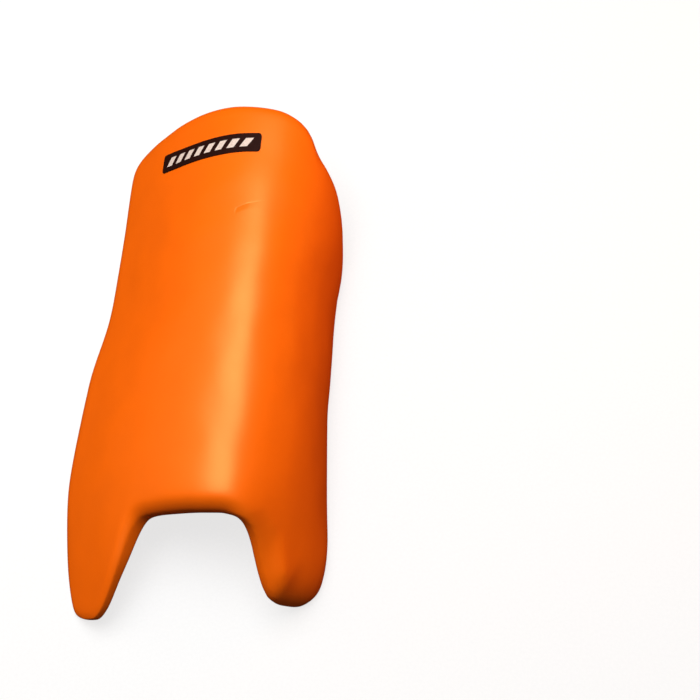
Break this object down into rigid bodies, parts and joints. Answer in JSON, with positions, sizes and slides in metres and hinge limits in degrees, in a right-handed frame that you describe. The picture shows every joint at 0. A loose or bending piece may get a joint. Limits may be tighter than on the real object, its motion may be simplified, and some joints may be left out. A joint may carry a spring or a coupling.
{
  "type": "goalkeeper leg guard",
  "caption": "Moulded foam leg guard for a hockey goalkeeper: a hollow shin shell with a flat outer wing, an arch over the foot, a label and back straps.",
  "frame": {"origin": "middle of the guard's box on the surface that it lies on, open back down", "axes": "+X towards the inner side of the leg, +Y from the foot end to the knee end, +Z out of the front of the shin"},
  "size_m": [0.2918, 0.5726, 0.1404],
  "materials": {
    "foam": "smooth satin skin on closed-cell foam",
    "label": "dark printed film",
    "webbing": "woven black webbing"
  },
  "bodies": {
    "root": {"foam_shell": "foam", "label_patch": "label", "ankle_strap": "webbing", "calf_strap": "webbing", "knee_strap": "webbing"}
  },
  "joints": []
}
